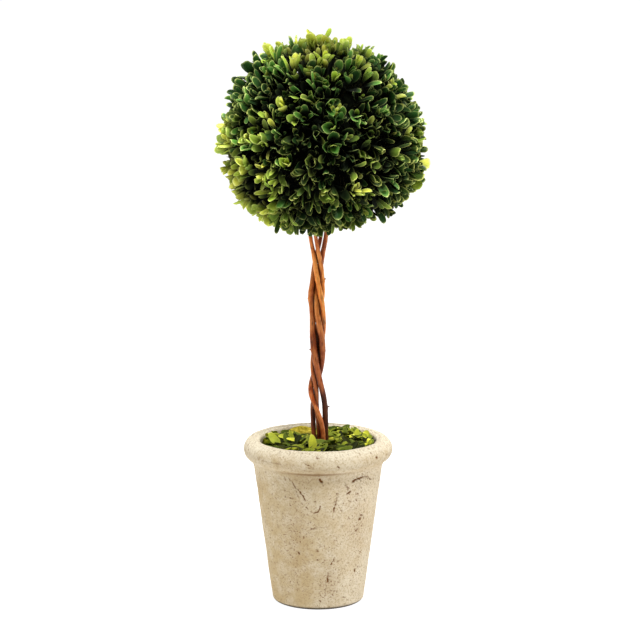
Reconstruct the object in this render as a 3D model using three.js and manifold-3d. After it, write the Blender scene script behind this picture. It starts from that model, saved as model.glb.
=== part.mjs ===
// Box topiary ball in a round pot.
// Millimetres, +Z up, -Y is the front. The origin is the centre of the pot's flat underside.
// Four willow stems wind around each other from the pot up into a clipped ball of box leaves.
import * as THREE from 'three';
import { mergeVertices } from 'three/addons/utils/BufferGeometryUtils.js';
import Module from 'manifold-3d';

const wasm = await Module();
wasm.setup();

// Clearance between pieces that rest on each other.
const GAP = 0.3;

// Pot: a tapered body under a thick rolled rim.
const FOOT_RADIUS = 53;
const FOOT_ROUND = 6;
const BODY_TOP_RADIUS = 74.5;
const BODY_TOP = 165;
const RIM_RADIUS = 72.7;
const RIM_HEIGHT = 179;
const RIM_THICK = 25.5;
const MOUTH_RADIUS = 66.5;
const MOUTH_HEIGHT = 187;
const FLOOR_RADIUS = 44.6;
const FLOOR_THICK = 10;
const POT_SEGMENTS = 40;

// Filling: a plug that stands in the pot up to the level where the stems are cut off flat.
const LEVEL = 176;

// Loose leaves on the filling.
const LITTER_EDGE = 8;
const LITTER_CROWN = 12;
const LITTER_COUNT = 74;
const LITTER_LEAF = 23;
const LITTER_TOP = 199;
const LITTER_MARGIN = 0.9;

// Stems: where the plait opens at the ball, where it stands in the litter, and the stems' ends.
const PLAIT_TOP = 427;
const PLAIT_FOOT = 192;
const STEM_TOP = 465;
const STEM_STEPS = 40;
const STEM_SIDES = 8;
const PLAIT_FLAT = 0.9;
const STEM_CLEAR = 0.5;
// Distance of the stems from the plait's axis at nine even stations, from the top down.
const SPREAD = [10, 3.6, 5.2, 5.6, 6.2, 4.8, 7.4, 8.8, 6.8];
// Each stem's place around the axis at the same stations, in quarter turns from the left:
// 0 is left, 1 front, 2 right and 3 behind. Tucks bring a stem nearer to the axis.
const STEMS = [
  {
    name: 'stem_left',
    turns: [0, 0.6, 1.1, 1.7, 2.35, 3.15, 4.05, 5.05, 5.85],
    top: 5.3,
    foot: 6.2,
    tucks: [],
    color: 0xa9602b,
  },
  {
    name: 'stem_front',
    turns: [0.75, 1.3, 2.0, 2.7, 3.1, 3.8, 4.2, 4.3, 4.3],
    top: 5.2,
    foot: 6,
    tucks: [{ station: 8.4, reach: 1.9, share: 1.25 }],
    color: 0x9c5526,
  },
  {
    name: 'stem_back',
    turns: [2.65, 3.45, 3.95, 4.0, 4.05, 4.5, 5.4, 5.95, 6.0],
    top: 5.4,
    foot: 7.2,
    tucks: [],
    color: 0x7d3f20,
  },
  {
    name: 'stem_right',
    turns: [2.0, 2.4, 3.6, 4.75, 5.6, 6.3, 7.2, 7.75, 7.9],
    top: 6.4,
    foot: 5.8,
    tucks: [{ station: 3, reach: 0.7, share: 0.35 }, { station: 8, reach: 1.2, share: 0.55 }],
    color: 0x8c4a24,
  },
];
// Buds and knots on the bark: side is in degrees around the stem from the right, going to the back.
const BUDS = [
  { stem: 'stem_back', height: 294, side: 180, length: 3.4, thick: 1.7 },
  { stem: 'stem_back', height: 227, side: 0, length: 3.2, thick: 1.7 },
  { stem: 'stem_front', height: 375, side: 0, length: 2.2, thick: 2.6 },
  { stem: 'stem_back', height: 353, side: 190, length: 1.4, thick: 3.6 },
];

// Ball: its centre, how far the leaf tips reach, and how the clipped outline swells and flattens
// with the angle from the top: the shares are of the cosines of once, twice, 3 and 4 times it.
const BALL_CENTRE = new THREE.Vector3(3, 0, 542.7);
const BALL_REACH = 119.5;
const BALL_SWELL = [-3, -2, 3.5, -1.8];
const CORE_SHARE = 0.77;
const SPRIG_COUNT = 100;
const SPRIG_ROOT = 82;
const TWIG_THICK = 3.6;
const UNEVEN = 7;
// Pairs of leaves on a twig, from its tip down: distance from the tip, length and opening angle.
const PAIRS = [
  { down: 1, length: 22, open: 29 },
  { down: 6, length: 29, open: 66 },
];
const TIP_PAIR_RISE = 17.5;
const LEAF_WIDTH_SHARE = 0.58;
const LEAF_THICK = 1.7;
const LEAF_WIDEST = 0.08;
const STEM_MARGIN = 1.4;

const GOLDEN = Math.PI * (3 - Math.sqrt(5));
const UP = new THREE.Vector3(0, 0, 1);

// A number from 0 to 1 that is always the same for the same pair of whole numbers.
function chance(i, k) {
  const x = Math.sin(i * 12.9898 + k * 78.233) * 43758.5453;
  return x - Math.floor(x);
}

// Smooth value at place s of a list of evenly spaced values.
function along(list, s) {
  const last = list.length - 1;
  const at = (n) => list[Math.min(Math.max(n, 0), last)];
  const place = Math.min(Math.max(s, 0), last - 1e-9);
  const i = Math.floor(place);
  const t = place - i;
  const [a, b, c, d] = [at(i - 1), at(i), at(i + 1), at(i + 2)];
  const square = (2 * a - 5 * b + 4 * c - d) * t * t;
  const cube = (-a + 3 * b - 3 * c + d) * t * t * t;
  return 0.5 * (2 * b + (-a + c) * t + square + cube);
}

function solid(geometry) {
  const bare = geometry.clone();
  bare.deleteAttribute('normal');
  bare.deleteAttribute('uv');
  const merged = mergeVertices(bare);
  const vertProperties = new Float32Array(merged.attributes.position.array);
  const triVerts = new Uint32Array(merged.index.array);
  return new wasm.Manifold(new wasm.Mesh({ numProp: 3, vertProperties, triVerts }));
}

// The largest connected shell of a joined solid, so that no loose scrap or sealed gap is kept.
function largestShell(joined) {
  const mesh = joined.getMesh();
  const group = Array.from({ length: mesh.vertProperties.length / 3 }, (_, n) => n);
  const root = (n) => {
    let m = n;
    while (group[m] !== m) {
      group[m] = group[group[m]];
      m = group[m];
    }
    return m;
  };
  const tris = mesh.triVerts;
  for (let t = 0; t < tris.length; t += 3) {
    group[root(tris[t])] = root(tris[t + 1]);
    group[root(tris[t + 1])] = root(tris[t + 2]);
  }
  const size = new Map();
  for (let t = 0; t < tris.length; t += 3) {
    const r = root(tris[t]);
    size.set(r, (size.get(r) ?? 0) + 1);
  }
  const largest = [...size.entries()].sort((p, q) => q[1] - p[1])[0][0];
  const position = [];
  for (let t = 0; t < tris.length; t += 3) {
    if (root(tris[t]) !== largest) {
      continue;
    }
    for (const v of [tris[t], tris[t + 1], tris[t + 2]]) {
      position.push(...mesh.vertProperties.slice(v * 3, v * 3 + 3));
    }
  }
  const geometry = new THREE.BufferGeometry();
  geometry.setAttribute('position', new THREE.Float32BufferAttribute(position, 3));
  return geometry;
}

// Points of an arc in a lathe profile, from one angle to another in degrees.
function arc(x, z, radius, from, to, steps) {
  return Array.from({ length: steps + 1 }, (_, n) => {
    const a = THREE.MathUtils.degToRad(from + (to - from) * n / steps);
    return new THREE.Vector2(x + radius * Math.cos(a), z + radius * Math.sin(a));
  });
}

function lathe(profile, segments) {
  const geometry = new THREE.LatheGeometry(profile, segments);
  geometry.rotateX(Math.PI / 2);
  return geometry;
}

// Radius of the pot's inner wall at a height.
function wall(z) {
  return THREE.MathUtils.mapLinear(z, FLOOR_THICK, MOUTH_HEIGHT, FLOOR_RADIUS, MOUTH_RADIUS);
}

function pot() {
  const bead = RIM_THICK / 2;
  const under = Math.sqrt(bead ** 2 - (BODY_TOP_RADIUS - RIM_RADIUS) ** 2);
  const from = -THREE.MathUtils.radToDeg(Math.atan2(under, BODY_TOP_RADIUS - RIM_RADIUS));
  const profile = [
    new THREE.Vector2(0, 0),
    ...arc(FOOT_RADIUS - FOOT_ROUND, FOOT_ROUND, FOOT_ROUND, -90, -7, 4),
    new THREE.Vector2(BODY_TOP_RADIUS - 0.8, BODY_TOP - 6),
    ...arc(RIM_RADIUS, RIM_HEIGHT, bead, from + 8, 100, 9),
    new THREE.Vector2(MOUTH_RADIUS + 1.4, MOUTH_HEIGHT + 2.4),
    new THREE.Vector2(MOUTH_RADIUS, MOUTH_HEIGHT),
    new THREE.Vector2(FLOOR_RADIUS, FLOOR_THICK),
    new THREE.Vector2(0, FLOOR_THICK),
  ];
  return lathe(profile, POT_SEGMENTS);
}

function filling() {
  const foot = FLOOR_THICK + GAP;
  const profile = [
    new THREE.Vector2(0, foot),
    new THREE.Vector2(wall(foot) - 2 * GAP, foot),
    new THREE.Vector2(wall(LEVEL) - 2 * GAP, LEVEL),
    new THREE.Vector2(0, LEVEL),
  ];
  return lathe(profile, POT_SEGMENTS);
}

// Share of a stem's distance from the axis that is left where it tucks in.
function tucked(stem, s) {
  return stem.tucks.reduce((share, tuck) => {
    const off = (s - tuck.station) / tuck.reach;
    return share * (1 - tuck.share * Math.exp(-off * off));
  }, 1);
}

// Centre lines of the stems: each follows its turns, then the stems are eased apart until they
// lie beside each other, as wound stems do.
function plait() {
  const lines = STEMS.map((stem) => Array.from({ length: STEM_STEPS + 1 }, (_, n) => {
    const z = THREE.MathUtils.lerp(STEM_TOP, LEVEL + GAP, n / STEM_STEPS);
    const s = (PLAIT_TOP - z) / (PLAIT_TOP - PLAIT_FOOT) * (SPREAD.length - 1);
    const turn = along(stem.turns, s) * Math.PI / 2;
    const far = along(SPREAD, s) * tucked(stem, s);
    const radius = THREE.MathUtils.mapLinear(z, STEM_TOP, LEVEL, stem.top, stem.foot) / 2;
    const x = -far * Math.cos(turn);
    const y = -far * Math.sin(turn) * PLAIT_FLAT;
    return { x, y, z, radius, x0: x, y0: y };
  }));
  for (let pass = 0; pass < 400; pass++) {
    const moves = lines.map((line, a) => line.map((p, n) => {
      let [mx, my] = [0, 0];
      lines.forEach((other, b) => {
        if (a === b) {
          return;
        }
        for (let m = Math.max(n - 3, 0); m <= Math.min(n + 3, STEM_STEPS); m++) {
          const q = other[m];
          const [dx, dy] = [p.x - q.x, p.y - q.y];
          const short = p.radius + q.radius + STEM_CLEAR - Math.hypot(dx, dy, p.z - q.z);
          const push = Math.max(short, 0) * 0.25 / Math.max(Math.hypot(dx, dy), 1e-6);
          mx += dx * push;
          my += dy * push;
        }
      });
      return [mx, my];
    }));
    const pull = pass < 330 ? 0.03 : 0;
    const ease = pass < 370 ? 0.04 : 0;
    lines.forEach((line, a) => {
      line.forEach((p, n) => {
        p.x += moves[a][n][0];
        p.y += moves[a][n][1];
        p.x += (p.x0 - p.x) * pull;
        p.y += (p.y0 - p.y) * pull;
      });
      const was = line.map((p) => [p.x, p.y]);
      for (let n = 1; n < STEM_STEPS; n++) {
        line[n].x += ((was[n - 1][0] + was[n + 1][0]) / 2 - was[n][0]) * ease;
        line[n].y += ((was[n - 1][1] + was[n + 1][1]) / 2 - was[n][1]) * ease;
      }
    });
  }
  return lines;
}

const LINES = plait();

// A tapered limb with level rings along a line, closed by a flat cut at each end.
function limb(line, sides, extra = 0, past = 0) {
  const rings = [...line].reverse();
  const position = [];
  const index = [];
  rings.forEach((p, n) => {
    const z = p.z + (n === 0 ? -past : 0) + (n === rings.length - 1 ? past : 0);
    for (let k = 0; k < sides; k++) {
      const a = 2 * Math.PI * k / sides;
      const r = p.radius + extra;
      position.push(p.x + r * Math.cos(a), p.y + r * Math.sin(a), z);
    }
  });
  const last = (rings.length - 1) * sides;
  for (let n = 0; n < rings.length - 1; n++) {
    for (let k = 0; k < sides; k++) {
      const [a, b] = [n * sides + k, n * sides + (k + 1) % sides];
      index.push(a, b, b + sides, a, b + sides, a + sides);
    }
  }
  for (let k = 1; k < sides - 1; k++) {
    index.push(0, k + 1, k, last, last + k, last + k + 1);
  }
  const geometry = new THREE.BufferGeometry();
  geometry.setAttribute('position', new THREE.Float32BufferAttribute(position, 3));
  geometry.setIndex(index);
  return geometry;
}

// A leaf, twig or bud is shaped along +Y and then set with its root at a point, along a
// direction, with its face to another direction.
function place(geometry, root, along3, face) {
  const side = new THREE.Vector3().crossVectors(along3, face).normalize();
  const out = new THREE.Vector3().crossVectors(side, along3);
  const turn = new THREE.Matrix4().makeBasis(side, along3, out).setPosition(root);
  return geometry.applyMatrix4(turn);
}

// A leaf of six faces: pointed at both ends, widest a little past its middle, with a keel.
function leaf(length, width) {
  const middle = length * (0.5 + LEAF_WIDEST);
  const corners = [
    [0, 0, 0],
    [width / 2, middle, 0],
    [0, length, 0],
    [-width / 2, middle, 0],
    [0, middle - 1, LEAF_THICK],
  ];
  const geometry = new THREE.BufferGeometry();
  geometry.setAttribute('position', new THREE.Float32BufferAttribute(corners.flat(), 3));
  geometry.setIndex([0, 3, 1, 1, 3, 2, 0, 1, 4, 1, 2, 4, 2, 3, 4, 3, 0, 4]);
  return geometry;
}

function twig(length, thick) {
  const geometry = new THREE.CylinderGeometry(thick * 0.32, thick / 2, length, 3, 1);
  return geometry.translate(0, length / 2, 0);
}

// Whether a point lies clear of every stem by a margin.
function clearOfStems(point, margin) {
  if (point.z > STEM_TOP + margin) {
    return true;
  }
  const s = THREE.MathUtils.mapLinear(point.z, STEM_TOP, LEVEL + GAP, 0, STEM_STEPS);
  const n = Math.floor(THREE.MathUtils.clamp(s, 0, STEM_STEPS - 1));
  const t = THREE.MathUtils.clamp(s - n, 0, 1);
  return LINES.every((line) => {
    const x = THREE.MathUtils.lerp(line[n].x, line[n + 1].x, t);
    const y = THREE.MathUtils.lerp(line[n].y, line[n + 1].y, t);
    return Math.hypot(x - point.x, y - point.y) > line[n].radius + margin;
  });
}

// Whether the lines between all of a piece's corners are clear of the stems.
function pieceClear(geometry, margin) {
  const position = geometry.attributes.position;
  const corners = Array.from({ length: position.count }, (_, n) => (
    new THREE.Vector3().fromBufferAttribute(position, n)
  ));
  return corners.every((a) => corners.every((b) => (
    [0, 0.2, 0.4].every((share) => clearOfStems(a.clone().lerp(b, share), margin))
  )));
}

// How far the clipped outline reaches from the ball's centre in a direction.
function reach(direction) {
  const angle = Math.acos(THREE.MathUtils.clamp(direction.z, -1, 1));
  return BALL_SWELL.reduce((sum, share, n) => sum + share * Math.cos((n + 1) * angle), BALL_REACH);
}

// Even, slightly uneven direction number i of a full ball of them.
function heading(i, count) {
  const z = 1 - 2 * (i + 0.5 + 0.7 * (chance(i, 1) - 0.5)) / count;
  const turn = i * GOLDEN + 0.22 * (chance(i, 2) - 0.5);
  const flat = Math.sqrt(1 - z * z);
  return new THREE.Vector3(flat * Math.cos(turn), flat * Math.sin(turn), z);
}

function core() {
  const geometry = new THREE.IcosahedronGeometry(1, 3);
  const position = geometry.attributes.position;
  const point = new THREE.Vector3();
  for (let n = 0; n < position.count; n++) {
    point.fromBufferAttribute(position, n).normalize();
    point.multiplyScalar(reach(point) * CORE_SHARE).add(BALL_CENTRE);
    position.setXYZ(n, point.x, point.y, point.z);
  }
  return geometry;
}

// One sprig: a twig that stands out of the core, with pairs of leaves turned a quarter from
// pair to pair. What would touch a stem or pass the outline is left out.
function sprig(i) {
  const out = heading(i, SPRIG_COUNT);
  const limit = reach(out);
  const tip = limit - TIP_PAIR_RISE - UNEVEN * chance(i, 3);
  const pieces = [];
  const root = BALL_CENTRE.clone().addScaledVector(out, SPRIG_ROOT);
  const sideways = new THREE.Vector3().crossVectors(out, UP).normalize();
  pieces.push(place(twig(tip - SPRIG_ROOT, TWIG_THICK), root, out, sideways));
  if (!pieceClear(pieces[0], STEM_MARGIN)) {
    return [];
  }
  PAIRS.forEach((pair, p) => {
    for (const half of [0, 1]) {
      const roll = (chance(i, 4) + p / 4 + half / 2) * 2 * Math.PI + 0.5 * (chance(i, 10 + p) - 0.5);
      const open = THREE.MathUtils.degToRad(pair.open + 14 * (chance(i, 20 + 2 * p + half) - 0.5));
      const away = sideways.clone().applyAxisAngle(out, roll);
      const heading3 = out.clone().multiplyScalar(Math.cos(open)).addScaledVector(away, Math.sin(open));
      const length = pair.length * (0.88 + 0.24 * chance(i, 30 + 2 * p + half));
      const start = BALL_CENTRE.clone().addScaledVector(out, tip - pair.down);
      start.addScaledVector(heading3, -0.4);
      const blade = place(leaf(length, length * LEAF_WIDTH_SHARE), start, heading3, out);
      const end = start.clone().addScaledVector(heading3, length).sub(BALL_CENTRE);
      const inside = end.length() < reach(end.clone().normalize());
      if (inside && pieceClear(blade, STEM_MARGIN)) {
        pieces.push(blade);
      }
    }
  });
  return pieces;
}

function ball() {
  let joined = solid(core());
  for (const line of LINES) {
    joined = joined.subtract(solid(limb(line, STEM_SIDES, 1.2 * GAP, GAP)));
  }
  for (let i = 0; i < SPRIG_COUNT; i++) {
    for (const piece of sprig(i)) {
      joined = joined.add(solid(piece));
    }
  }
  return largestShell(joined);
}

function litter() {
  const edge = wall(LEVEL + GAP) - 2 * GAP;
  const profile = [
    new THREE.Vector2(0, LEVEL + GAP),
    new THREE.Vector2(edge, LEVEL + GAP),
    new THREE.Vector2(edge, LEVEL + LITTER_EDGE),
    new THREE.Vector2(edge * 0.72, LEVEL + (LITTER_EDGE + LITTER_CROWN) * 0.55),
    new THREE.Vector2(0, LEVEL + LITTER_CROWN),
  ];
  let joined = solid(lathe(profile, POT_SEGMENTS / 2));
  for (const line of LINES) {
    joined = joined.subtract(solid(limb(line, STEM_SIDES, 1.2 * GAP, 2 * GAP)));
  }
  const point = new THREE.Vector3();
  for (let i = 0; i < LITTER_COUNT; i++) {
    const share = Math.sqrt((i + 0.5) / LITTER_COUNT);
    const around = i * GOLDEN;
    const length = LITTER_LEAF * (0.85 + 0.3 * chance(i, 50));
    const turn = 2 * Math.PI * chance(i, 51);
    const rise = THREE.MathUtils.degToRad(10 + 34 * chance(i, 52));
    const far = share * (edge - 9);
    const ground = LEVEL + THREE.MathUtils.lerp(LITTER_CROWN, LITTER_EDGE, share);
    const root = new THREE.Vector3(far * Math.cos(around), far * Math.sin(around), ground - 1.5);
    const level = Math.cos(rise);
    const ahead = new THREE.Vector3(Math.cos(turn) * level, Math.sin(turn) * level, Math.sin(rise));
    root.addScaledVector(ahead, -0.3 * length);
    root.z = Math.max(root.z, LEVEL + 1.6);
    const tilt = new THREE.Vector3(chance(i, 53) - 0.5, chance(i, 54) - 0.5, 0);
    const face = UP.clone().addScaledVector(tilt, 0.7);
    const blade = place(leaf(length, length * LEAF_WIDTH_SHARE), root, ahead, face);
    let kept = pieceClear(blade, LITTER_MARGIN);
    const position = blade.attributes.position;
    for (let n = 0; n < position.count; n++) {
      point.fromBufferAttribute(position, n);
      kept = kept && point.z > LEVEL + GAP + 0.2 && point.z < LITTER_TOP;
      kept = kept && Math.hypot(point.x, point.y) < wall(point.z) - 1;
    }
    if (kept) {
      joined = joined.add(solid(blade));
    }
  }
  return largestShell(joined);
}

function stem(k) {
  let joined = solid(limb(LINES[k], STEM_SIDES));
  for (const bud of BUDS.filter((b) => b.stem === STEMS[k].name)) {
    const line = LINES[k];
    const off = (q) => Math.abs(q.z - bud.height);
    const p = line.reduce((near, q) => (off(q) < off(near) ? q : near));
    const a = THREE.MathUtils.degToRad(bud.side);
    const away = new THREE.Vector3(Math.cos(a), Math.sin(a), 0.3).normalize();
    const shape = new THREE.OctahedronGeometry(1);
    shape.scale(bud.thick / 2, (bud.length + p.radius) / 2, bud.thick / 2);
    shape.translate(0, (bud.length + p.radius) / 2, 0);
    joined = joined.add(solid(place(shape, new THREE.Vector3(p.x, p.y, p.z), away, UP)));
  }
  return largestShell(joined);
}

function part(name, geometry, color, roughness) {
  const mesh = new THREE.Mesh(geometry, new THREE.MeshStandardMaterial({ color, roughness, metalness: 0 }));
  mesh.name = name;
  return mesh;
}

const group = new THREE.Group();
group.add(part('pot', pot(), 0xdccfb8, 0.85));
group.add(part('filling', filling(), 0x5a4a38, 0.95));
group.add(part('leaf_litter', litter(), 0x6c7a2a, 0.7));
STEMS.forEach((s, k) => group.add(part(s.name, stem(k), s.color, 0.7)));
group.add(part('boxwood_ball', ball(), 0x44571c, 0.6));

export default group;
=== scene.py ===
"""Box topiary ball in a round pot. Metres, +Z up, -Y is the front, and the origin is the centre of
the pot's flat underside. Sizes are named in millimetres, as in the part's source, and MM turns
them into metres."""
import math

import bpy
import numpy as np
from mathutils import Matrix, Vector, noise


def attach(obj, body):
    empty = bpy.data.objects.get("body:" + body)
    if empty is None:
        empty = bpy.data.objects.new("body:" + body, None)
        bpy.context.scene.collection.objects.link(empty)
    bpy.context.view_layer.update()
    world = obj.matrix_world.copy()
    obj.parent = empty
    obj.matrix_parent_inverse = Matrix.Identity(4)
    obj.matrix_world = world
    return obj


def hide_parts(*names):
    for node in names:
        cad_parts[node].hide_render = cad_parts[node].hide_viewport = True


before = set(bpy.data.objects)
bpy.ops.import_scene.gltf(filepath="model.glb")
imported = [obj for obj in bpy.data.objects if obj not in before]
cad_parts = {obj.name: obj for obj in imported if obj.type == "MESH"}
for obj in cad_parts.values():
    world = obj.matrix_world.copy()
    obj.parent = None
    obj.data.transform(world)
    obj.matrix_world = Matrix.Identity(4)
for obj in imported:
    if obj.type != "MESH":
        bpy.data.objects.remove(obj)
scene = bpy.context.scene
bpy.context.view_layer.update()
MM = 0.001

# sizes, as in the part's source
FOOT_RADIUS, FOOT_ROUND = 53, 6
BODY_TOP_RADIUS, BODY_TOP = 74.5, 165
RIM_RADIUS, RIM_HEIGHT, RIM_THICK = 72.7, 179, 25.5
MOUTH_RADIUS, MOUTH_HEIGHT = 66.5, 187
FLOOR_RADIUS, FLOOR_THICK = 44.6, 10
LEVEL, GAP = 176, 0.3
LITTER_EDGE, LITTER_CROWN = 8, 12

PLAIT_TOP, PLAIT_FOOT = 427, 192
STEM_TOP, STEM_STEPS = 465, 40
PLAIT_FLAT, STEM_CLEAR = 0.9, 0.5
# How far the stems stand from their middle line at even stations, from the ball down.
SPREAD = [10, 3.6, 5.2, 5.6, 6.2, 4.8, 7.4, 8.8, 6.8]
# Quarter turns of each stem round the middle line at those stations, its thickness at the top and the
# foot, and where it tucks in: station, how far along and by what share.
STEMS = [
    dict(name="stem_left", turns=[0, 0.6, 1.1, 1.7, 2.35, 3.15, 4.05, 5.05, 5.85], top=5.3, foot=6.2,
         tucks=[]),
    dict(name="stem_front", turns=[0.75, 1.3, 2.0, 2.7, 3.1, 3.8, 4.2, 4.3, 4.3], top=5.2, foot=6,
         tucks=[(8.4, 1.9, 1.25)]),
    dict(name="stem_back", turns=[2.65, 3.45, 3.95, 4.0, 4.05, 4.5, 5.4, 5.95, 6.0], top=5.4, foot=7.2,
         tucks=[]),
    dict(name="stem_right", turns=[2.0, 2.4, 3.6, 4.75, 5.6, 6.3, 7.2, 7.75, 7.9], top=6.4, foot=5.8,
         tucks=[(3, 0.7, 0.35), (8, 1.2, 0.55)]),
]
# Stubs of cut side shoots: stem, height, side in degrees, length and thickness.
BUDS = [
    ("stem_back", 294, 180, 3.4, 1.7),
    ("stem_back", 227, 0, 3.2, 1.7),
    ("stem_front", 375, 0, 2.2, 2.6),
    ("stem_back", 353, 190, 1.4, 3.6),
]

BALL_CENTRE = np.array([3, 0, 542.7])
BALL_REACH = 119.5
# Waves of the clipped outline from the top of the ball to its bottom: one, two, three and four of them.
BALL_SWELL = [-3, -2, 3.5, -1.8]
SPRIG_COUNT = 100
GOLDEN = math.pi * (3 - math.sqrt(5))
HEADING_LIFT, HEADING_TURN = 0.7, 0.22

# Easing the stems apart: rounds in all, rounds that pull them back to their plan and that smooth them,
# the share of the way that each goes in a round, and how many points either way it looks.
EASE_ROUNDS, PULL_ROUNDS, SMOOTH_ROUNDS = 400, 330, 370
PUSH, PULL, SMOOTHING = 0.25, 0.03, 0.04
NEIGHBOURS = 3


# the source's rules
def chance(i, k):
    """A number from 0 to 1 that is always the same for the same pair of whole numbers."""
    x = np.sin(np.asarray(i, float) * 12.9898 + np.asarray(k, float) * 78.233) * 43758.5453
    return x - np.floor(x)


def along(values, s):
    """The value at station s of a smooth curve through values at the whole stations."""
    last = len(values) - 1
    place = min(max(s, 0), last - 1e-9)
    i = int(place)
    t = place - i
    a, b, c, d = (values[min(max(n, 0), last)] for n in (i - 1, i, i + 1, i + 2))
    curve = (2 * a - 5 * b + 4 * c - d) * t * t
    return 0.5 * (2 * b + (c - a) * t + curve + (3 * b - a - 3 * c + d) * t ** 3)


def tucked(stem, s):
    """The share of its distance from the middle line that a stem keeps at station s."""
    share = 1.0
    for station, wide, part in stem["tucks"]:
        share *= 1 - part * math.exp(-((s - station) / wide) ** 2)
    return share


def plait():
    """Centre lines and radii of the stems, from the top down, eased apart until they lie side by side."""
    count = STEM_STEPS + 1
    z = np.linspace(STEM_TOP, LEVEL + GAP, count)
    lines, radii = [], []
    for stem in STEMS:
        line = []
        for height in z:
            s = (PLAIT_TOP - height) / (PLAIT_TOP - PLAIT_FOOT) * (len(SPREAD) - 1)
            turn = along(stem["turns"], s) * math.pi / 2
            far = along(SPREAD, s) * tucked(stem, s)
            line.append((-far * math.cos(turn), -far * math.sin(turn) * PLAIT_FLAT, height))
        lines.append(line)
        share = (STEM_TOP - z) / (STEM_TOP - LEVEL)
        radii.append((stem["top"] + (stem["foot"] - stem["top"]) * share) / 2)
    lines, radii = np.array(lines), np.array(radii)
    target = lines.copy()
    for step in range(EASE_ROUNDS):
        move = np.zeros_like(lines)
        for a in range(len(STEMS)):
            for b in range(len(STEMS)):
                if a == b:
                    continue
                for off in range(-NEIGHBOURS, NEIGHBOURS + 1):
                    n = np.arange(max(0, -off), min(count, count - off))
                    apart = lines[a, n] - lines[b, n + off]
                    short = radii[a, n] + radii[b, n + off] + STEM_CLEAR - np.linalg.norm(apart, axis=1)
                    flat = np.maximum(np.hypot(apart[:, 0], apart[:, 1]), 1e-6)
                    push = np.maximum(short, 0) * PUSH / flat
                    move[a, n, :2] += apart[:, :2] * push[:, None]
        lines += move
        if step < PULL_ROUNDS:
            lines[:, :, :2] += (target - lines)[:, :, :2] * PULL
        if step < SMOOTH_ROUNDS:
            middle = (lines[:, :-2] + lines[:, 2:]) / 2
            lines[:, 1:-1, :2] += (middle - lines[:, 1:-1])[:, :, :2] * SMOOTHING
    return lines, radii


LINES, RADII = plait()


def reach(directions):
    """How far the clipped outline reaches from the ball's centre, in each direction."""
    angle = np.arccos(np.clip(directions[..., 2], -1, 1))
    swell = sum(share * np.cos((n + 1) * angle) for n, share in enumerate(BALL_SWELL))
    return BALL_REACH + swell


def headings(count):
    """Headings spread evenly over the ball, each a little off its place."""
    i = np.arange(count)
    z = 1 - 2 * (i + 0.5 + HEADING_LIFT * (chance(i, 1) - 0.5)) / count
    turn = i * GOLDEN + HEADING_TURN * (chance(i, 2) - 0.5)
    flat = np.sqrt(1 - z * z)
    return np.stack([flat * np.cos(turn), flat * np.sin(turn), z], 1)


def unit(v):
    """Vectors brought to length one."""
    return v / np.maximum(np.linalg.norm(v, axis=-1, keepdims=True), 1e-9)


def followed(line, z):
    """Where a centre line that runs upward is at each height, on the level."""
    return np.stack([np.interp(z, line[:, 2], line[:, n]) for n in (0, 1)], 1)


def from_stem(points, k):
    """How far each point is from the bark of a stem, on the level."""
    line, z = LINES[k][::-1], points[:, 2]
    return np.hypot(*(points[:, :2] - followed(line, z)).T) - np.interp(z, line[:, 2], RADII[k][::-1])


def clear_of_stems(points, margin):
    """Which of the points lie clear of every stem by a margin."""
    near = np.min([from_stem(points, k) for k in range(len(STEMS))], axis=0) < margin
    return ~(near & (points[:, 2] < STEM_TOP + margin))


def wall(z):
    """Radius of the pot's inner wall at a height."""
    return FLOOR_RADIUS + (z - FLOOR_THICK) / (MOUTH_HEIGHT - FLOOR_THICK) * (MOUTH_RADIUS - FLOOR_RADIUS)


def fbm(points, scale, seed=0.0, octaves=3):
    """Fractal noise at points in millimetres, with features about scale mm wide."""
    shift = Vector((seed * 17.3, seed * 5.1, seed * 9.7))
    falloff, finer = 0.9, 2.1
    return np.array([noise.fractal(Vector(p) / scale + shift, falloff, finer, octaves) for p in points])


def hump(x, middle, wide):
    """A smooth hump that is 1 at the middle and nearly 0 at twice its width from there."""
    return np.exp(-((x - middle) / wide) ** 2)


def fade(x, start, full):
    """Rises evenly from 0 at the start to 1 where it is full."""
    return np.clip((x - start) / (full - start), 0, 1)


def circle(count):
    """Angles of points evenly round a circle."""
    return 2 * math.pi * np.arange(count) / count


# mesh helpers
def piece(name, points, faces, material, node):
    """A mesh from points in millimetres and a list of arrays of faces."""
    mesh = bpy.data.meshes.new(name)
    points = np.asarray(points, np.float32) * MM
    mesh.vertices.add(len(points))
    mesh.vertices.foreach_set("co", points.ravel())
    corners = np.concatenate([np.asarray(f, np.int32).ravel() for f in faces])
    sizes = np.concatenate([np.full(len(f), np.asarray(f).shape[1], np.int32) for f in faces])
    starts = np.concatenate([[0], np.cumsum(sizes)[:-1]]).astype(np.int32)
    mesh.loops.add(len(corners))
    mesh.loops.foreach_set("vertex_index", corners)
    mesh.polygons.add(len(sizes))
    mesh.polygons.foreach_set("loop_start", starts)
    mesh.update(calc_edges=True)
    mesh.validate()
    mesh.polygons.foreach_set("use_smooth", np.ones(len(mesh.polygons), bool))
    mesh.materials.append(material)
    made = bpy.data.objects.new(name, mesh)
    scene.collection.objects.link(made)
    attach(made, "root")
    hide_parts(node)
    return made


def values(made, **columns):
    """Keeps numbers on a mesh, one a point under each name, for its material to read."""
    for name, numbers in columns.items():
        layer = made.data.attributes.new(name, "FLOAT", "POINT")
        layer.data.foreach_set("value", np.asarray(numbers, np.float32))


def grid(rows, columns, closed=True):
    """Quads of a grid of points, row by row, with its columns closed into a ring."""
    here = np.arange(rows - 1)[:, None] * columns
    c = np.arange(columns if closed else columns - 1)[None, :]
    n = (c + 1) % columns
    return np.stack([here + c, here + n, here + columns + n, here + columns + c], -1).reshape(-1, 4)


def repeated(faces, each, count):
    """The faces of one leaf or shoot with so many points each, for as many as there are."""
    return (faces[None] + (np.arange(count) * each)[:, None, None]).reshape(-1, faces.shape[1])


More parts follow.
